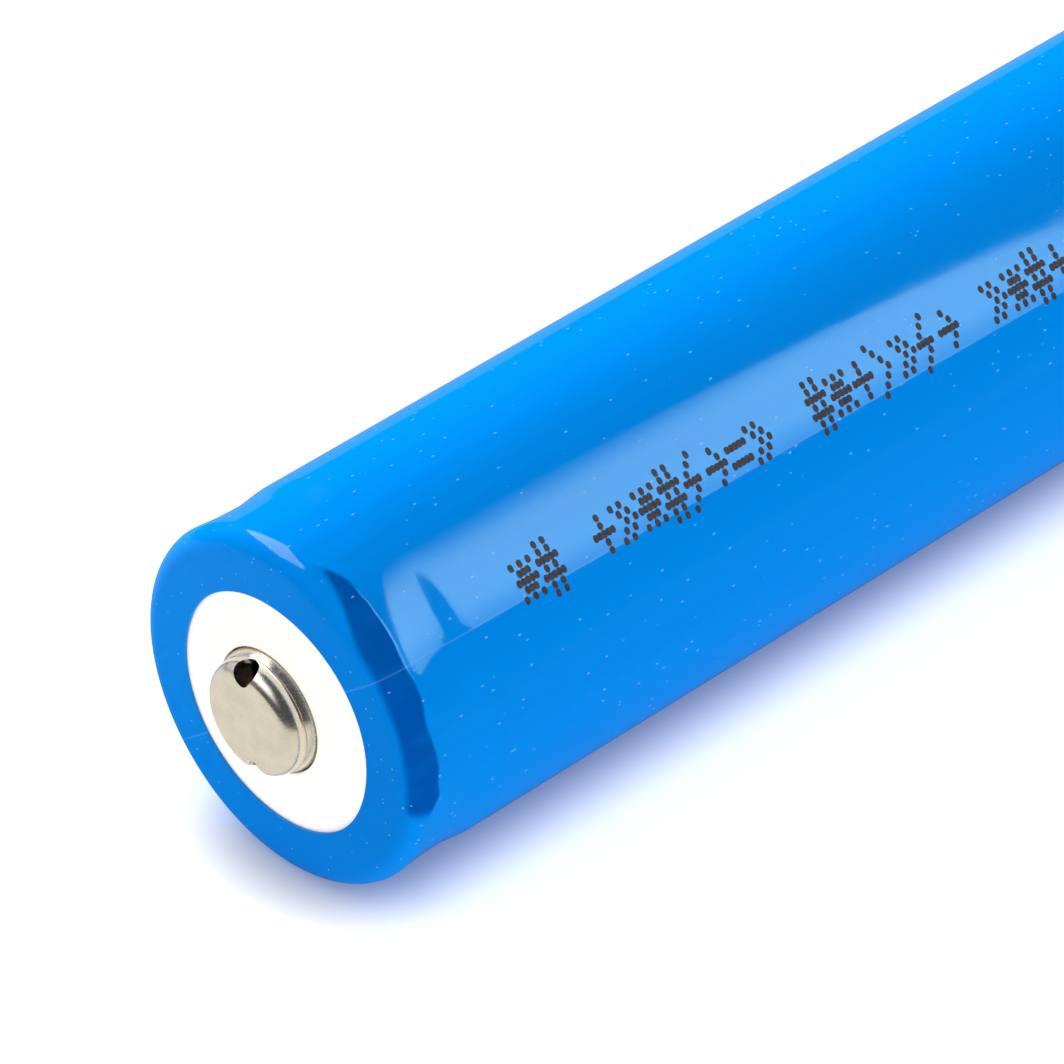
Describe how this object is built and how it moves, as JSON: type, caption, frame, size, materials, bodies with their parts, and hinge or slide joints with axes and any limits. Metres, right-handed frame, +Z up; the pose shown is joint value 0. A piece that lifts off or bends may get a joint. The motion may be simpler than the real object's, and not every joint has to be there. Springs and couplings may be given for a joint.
{
  "type": "cylindrical battery cell",
  "caption": "Round lithium-ion cell with a raised positive button, white washer, crimped steel can and glossy blue shrink sleeve, with wound electrodes, tabs and a safety vent inside.",
  "frame": {"origin": "bottom centre of the cell's bounding box, on the surface the cell lies on", "axes": "+Z up; the cell's axis is parallel to Y at Z = 9.2 mm; the positive button points to -Y and the flat negative end to +Y"},
  "size_m": [0.0184, 0.0666, 0.0184],
  "materials": {
    "sleeve_film": "glossy blue shrink film",
    "washer_card": "matt white insulating card",
    "can_nickel": "nickel-plated steel, satin",
    "cap_nickel": "nickel-plated steel, fine brushed flat and bright shoulder",
    "gasket_plastic": "milky polypropylene",
    "ptc_grey": "dark filled polymer between plated faces",
    "disc_aluminium": "bright rolled aluminium",
    "cid_plastic": "red-brown moulded plastic",
    "separator_film": "white microporous film",
    "cathode_coating": "black pressed coating on aluminium foil",
    "anode_coating": "dark graphite coating on copper foil",
    "winding_tape_green": "green polyester tape",
    "tab_aluminium": "soft aluminium strip",
    "tab_nickel": "nickel strip",
    "tab_tape_amber": "amber polyimide tape",
    "insulator_card": "tan insulating card",
    "pin_steel": "rolled steel tube"
  },
  "bodies": {
    "root": {"outer_sleeve": "sleeve_film", "top_insulator_washer": "washer_card", "steel_can": "can_nickel", "crimp_gasket": "gasket_plastic", "positive_cap": "cap_nickel", "ptc_ring": "ptc_grey", "rupture_disc": "disc_aluminium", "cid_insulator_ring": "cid_plastic", "cid_contact_disc": "disc_aluminium", "cathode_tab": "tab_aluminium", "cathode_tab_tape": "tab_tape_amber", "top_insulator_disc": "insulator_card", "separator_inner": "separator_film", "separator_outer": "separator_film", "cathode_sheet": "cathode_coating", "anode_sheet": "anode_coating", "winding_tape": "winding_tape_green", "anode_tab": "tab_nickel", "anode_tab_tape": "tab_tape_amber", "bottom_insulator_disc": "insulator_card", "centre_pin": "pin_steel"}
  },
  "joints": []
}
